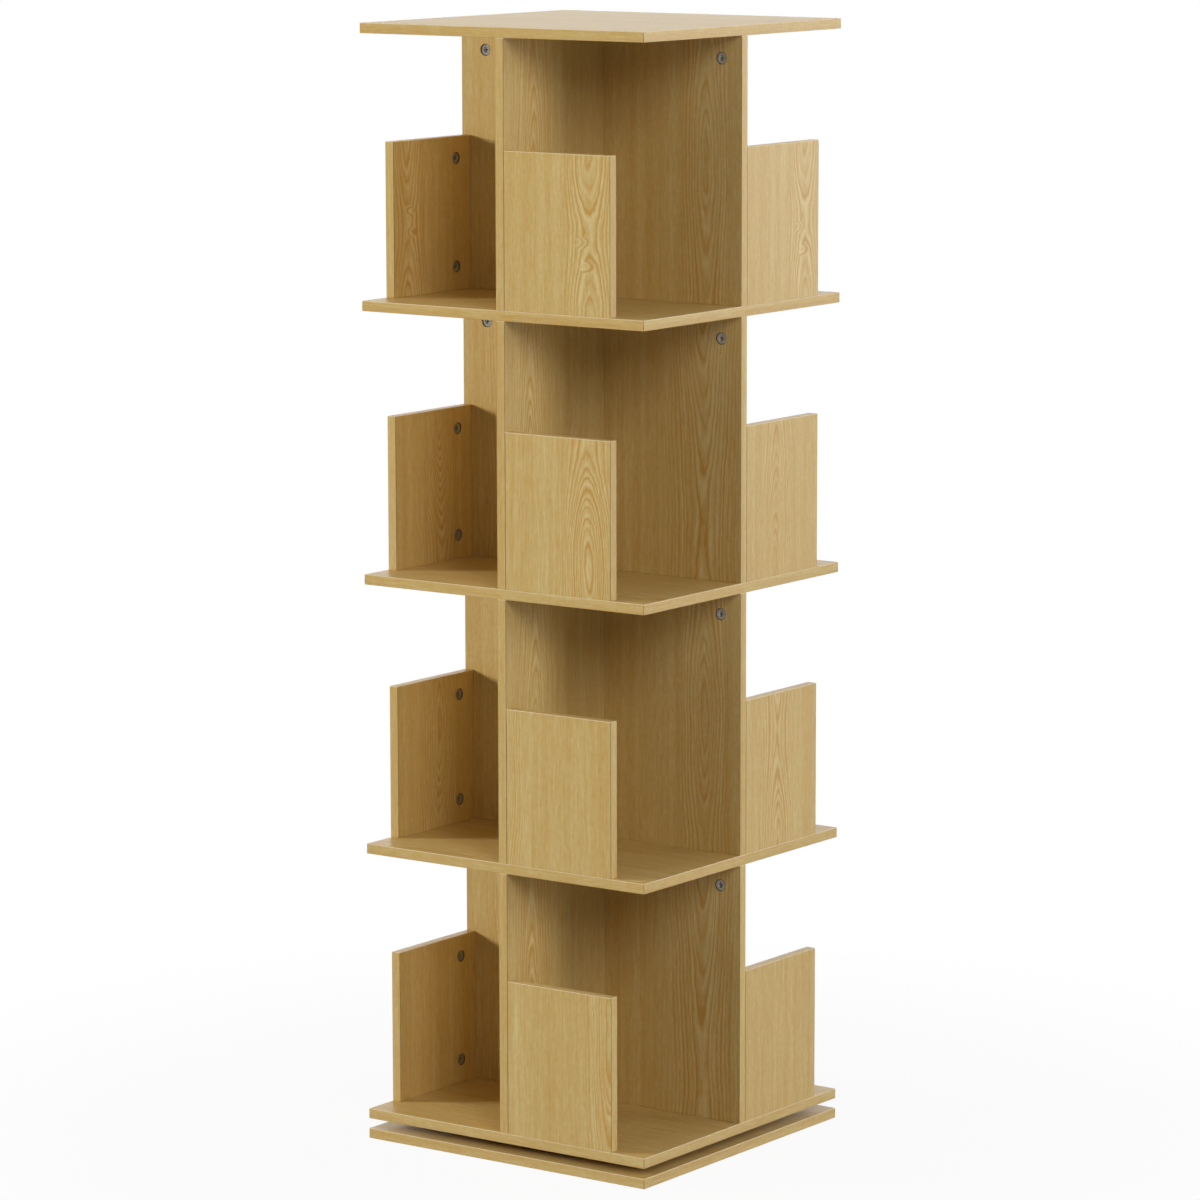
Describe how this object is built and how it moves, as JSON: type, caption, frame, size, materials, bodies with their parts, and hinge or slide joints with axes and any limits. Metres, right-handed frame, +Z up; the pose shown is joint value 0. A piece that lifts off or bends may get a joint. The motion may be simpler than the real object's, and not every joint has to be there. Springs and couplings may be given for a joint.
{
  "type": "revolving bookcase tower",
  "caption": "Floor-standing revolving bookcase: square shelves on crossed dividers with low side panels, turning on a ball-bearing turntable over a fixed base board.",
  "frame": {"origin": "centre of the base board's underside, on the turning axis", "axes": "+Z up along the turning axis, -Y the front side, +X the right side"},
  "size_m": [0.4, 0.4, 1.32],
  "materials": {
    "laminated_board": "light oak-look laminated board, satin",
    "cam_zinc": "die-cast zinc, satin",
    "bolt_steel": "zinc-plated",
    "screw_steel": "zinc-plated",
    "turntable_steel": "galvanised sheet",
    "ball_steel": "polished",
    "cage_nylon": "moulded, matt"
  },
  "bodies": {
    "base": {"base_board": "laminated_board", "turntable_lower_plate": "turntable_steel", "turntable_lower_screws": "screw_steel"},
    "ball_cage": {"turntable_ball_cage": "cage_nylon", "turntable_balls": "ball_steel"},
    "tower": {"divider_across_tier_1": "laminated_board", "divider_across_tier_2": "laminated_board", "divider_across_tier_3": "laminated_board", "divider_across_tier_4": "laminated_board", "divider_cam_bolts_tier_1": "bolt_steel", "divider_cam_bolts_tier_2": "bolt_steel", "divider_cam_bolts_tier_3": "bolt_steel", "divider_cam_bolts_tier_4": "bolt_steel", "divider_cams_tier_1": "cam_zinc", "divider_cams_tier_2": "cam_zinc", "divider_cams_tier_3": "cam_zinc", "divider_cams_tier_4": "cam_zinc", "divider_deep_tier_1": "laminated_board", "divider_deep_tier_2": "laminated_board", "divider_deep_tier_3": "laminated_board", "divider_deep_tier_4": "laminated_board", "panel_cam_bolts_tier_1": "bolt_steel", "panel_cam_bolts_tier_2": "bolt_steel", "panel_cam_bolts_tier_3": "bolt_steel", "panel_cam_bolts_tier_4": "bolt_steel", "panel_cams_tier_1": "cam_zinc", "panel_cams_tier_2": "cam_zinc", "panel_cams_tier_3": "cam_zinc", "panel_cams_tier_4": "cam_zinc", "shelf_screws_tier_1": "screw_steel", "shelf_screws_tier_2": "screw_steel", "shelf_screws_tier_3": "screw_steel", "shelf_screws_tier_4": "screw_steel", "shelf_tier_1": "laminated_board", "shelf_tier_2": "laminated_board", "shelf_tier_3": "laminated_board", "shelf_tier_4": "laminated_board", "side_panel_back_tier_1": "laminated_board", "side_panel_back_tier_2": "laminated_board", "side_panel_back_tier_3": "laminated_board", "side_panel_back_tier_4": "laminated_board", "side_panel_front_tier_1": "laminated_board", "side_panel_front_tier_2": "laminated_board", "side_panel_front_tier_3": "laminated_board", "side_panel_front_tier_4": "laminated_board", "side_panel_left_tier_1": "laminated_board", "side_panel_left_tier_2": "laminated_board", "side_panel_left_tier_3": "laminated_board", "side_panel_left_tier_4": "laminated_board", "side_panel_right_tier_1": "laminated_board", "side_panel_right_tier_2": "laminated_board", "side_panel_right_tier_3": "laminated_board", "side_panel_right_tier_4": "laminated_board", "top_board": "laminated_board", "turntable_upper_plate": "turntable_steel", "turntable_upper_screws": "screw_steel"}
  },
  "joints": [
    {"name": "turntable", "type": "hinge", "parent": "base", "child": "tower", "pos_m": [0, 0, 0.018], "axis": [0, 0, 1], "continuous": true},
    {"name": "ball_cage_roll", "type": "hinge", "parent": "base", "child": "ball_cage", "pos_m": [0, 0, 0.018], "axis": [0, 0, 1], "continuous": true}
  ],
  "couplings": [
    {"joint": "ball_cage_roll", "follows": "turntable", "ratio": 0.5}
  ]
}
